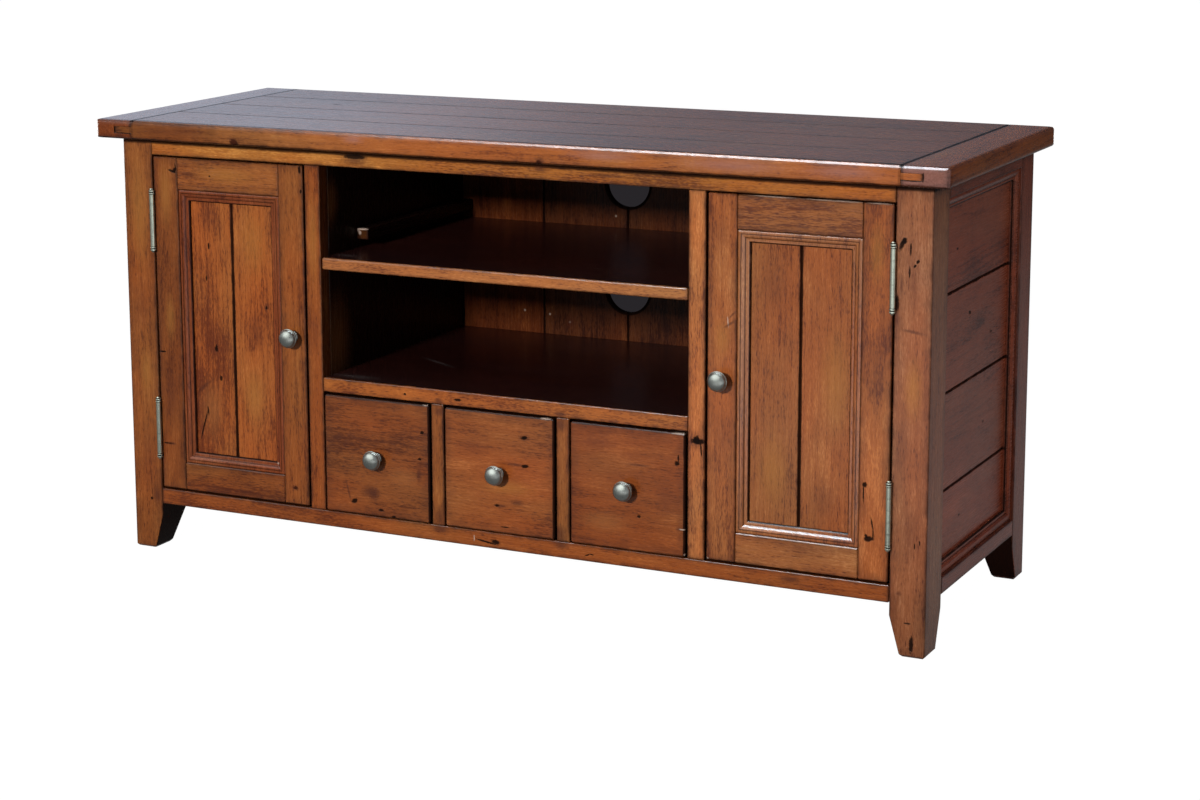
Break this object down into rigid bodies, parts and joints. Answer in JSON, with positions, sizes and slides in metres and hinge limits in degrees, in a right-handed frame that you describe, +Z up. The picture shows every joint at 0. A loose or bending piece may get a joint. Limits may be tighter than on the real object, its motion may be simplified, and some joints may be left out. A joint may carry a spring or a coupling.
{
  "type": "media console",
  "caption": "Low wooden media console: hinged panelled doors at both ends, an open middle bay with a loose shelf and cable holes, and a row of small drawers under it.",
  "frame": {"origin": "on the floor under the middle of the top", "axes": "+X to the right-hand end as seen from the front, +Y to the back, +Z up; the doors face -Y"},
  "size_m": [1.2, 0.43, 0.6],
  "materials": {
    "top_wood": "dark brown satin lacquer over planed planks",
    "frame_wood": "orange-brown stain with dark glaze in the joints, satin lacquer",
    "panel_wood": "orange-brown stain with knots and worm holes, satin lacquer",
    "side_wood": "red-brown stain with dark glaze, satin lacquer",
    "inner_wood": "brown stain, thin matt lacquer",
    "pewter": "aged pewter, dark in the hollows",
    "hinge_brass": "aged pale brass with a green-grey tone"
  },
  "bodies": {
    "case": {"top_panel": "top_wood", "top_end_left": "top_wood", "top_end_right": "top_wood", "post_front_left": "frame_wood", "post_front_right": "frame_wood", "post_rear_left": "frame_wood", "post_rear_right": "frame_wood", "face_top_rail": "frame_wood", "face_bottom_rail": "frame_wood", "face_stile_left": "frame_wood", "face_stile_right": "frame_wood", "side_top_rail_left": "side_wood", "side_top_rail_right": "side_wood", "side_bottom_rail_left": "side_wood", "side_bottom_rail_right": "side_wood", "side_panel_left": "side_wood", "side_panel_right": "side_wood", "back_panel": "inner_wood", "case_floor": "inner_wood", "partition_left": "inner_wood", "partition_right": "inner_wood", "drawer_deck": "frame_wood", "drawer_divider_left": "frame_wood", "drawer_divider_right": "frame_wood", "shelf_cleat_left": "inner_wood", "shelf_cleat_right": "inner_wood", "spare_cleat_left": "inner_wood", "spare_cleat_right": "inner_wood", "left_upper_hinge_fixed_leaf": "hinge_brass", "left_lower_hinge_fixed_leaf": "hinge_brass", "right_upper_hinge_fixed_leaf": "hinge_brass", "right_lower_hinge_fixed_leaf": "hinge_brass"},
    "left_door": {"left_door_hinge_stile": "frame_wood", "left_door_lock_stile": "frame_wood", "left_door_top_rail": "frame_wood", "left_door_bottom_rail": "frame_wood", "left_door_panel": "panel_wood", "left_door_moulding": "frame_wood", "left_door_knob": "pewter", "left_upper_hinge_moving_leaf": "hinge_brass", "left_lower_hinge_moving_leaf": "hinge_brass"},
    "right_door": {"right_door_hinge_stile": "frame_wood", "right_door_lock_stile": "frame_wood", "right_door_top_rail": "frame_wood", "right_door_bottom_rail": "frame_wood", "right_door_panel": "panel_wood", "right_door_moulding": "frame_wood", "right_door_knob": "pewter", "right_upper_hinge_moving_leaf": "hinge_brass", "right_lower_hinge_moving_leaf": "hinge_brass"},
    "drawer_left": {"drawer_left_front": "frame_wood", "drawer_left_box": "inner_wood", "drawer_left_knob": "pewter"},
    "drawer_middle": {"drawer_middle_front": "frame_wood", "drawer_middle_box": "inner_wood", "drawer_middle_knob": "pewter"},
    "drawer_right": {"drawer_right_front": "frame_wood", "drawer_right_box": "inner_wood", "drawer_right_knob": "pewter"},
    "shelf": {"shelf": "frame_wood"}
  },
  "joints": [
    {"name": "left_door_hinge", "type": "hinge", "parent": "case", "child": "left_door", "pos_m": [-0.5258, -0.1931, 0.319], "axis": [0, 0, -1], "range_deg": [0, 175]},
    {"name": "right_door_hinge", "type": "hinge", "parent": "case", "child": "right_door", "pos_m": [0.5258, -0.1931, 0.319], "axis": [0, 0, 1], "range_deg": [0, 175]},
    {"name": "drawer_left_slide", "type": "slide", "parent": "case", "child": "drawer_left", "axis": [0, -1, 0], "range_m": [0, 0.26]},
    {"name": "drawer_middle_slide", "type": "slide", "parent": "case", "child": "drawer_middle", "axis": [0, -1, 0], "range_m": [0, 0.26]},
    {"name": "drawer_right_slide", "type": "slide", "parent": "case", "child": "drawer_right", "axis": [0, -1, 0], "range_m": [0, 0.26]},
    {"name": "shelf_slide", "type": "slide", "parent": "case", "child": "shelf", "axis": [0, -1, 0], "range_m": [0, 0.2]}
  ]
}
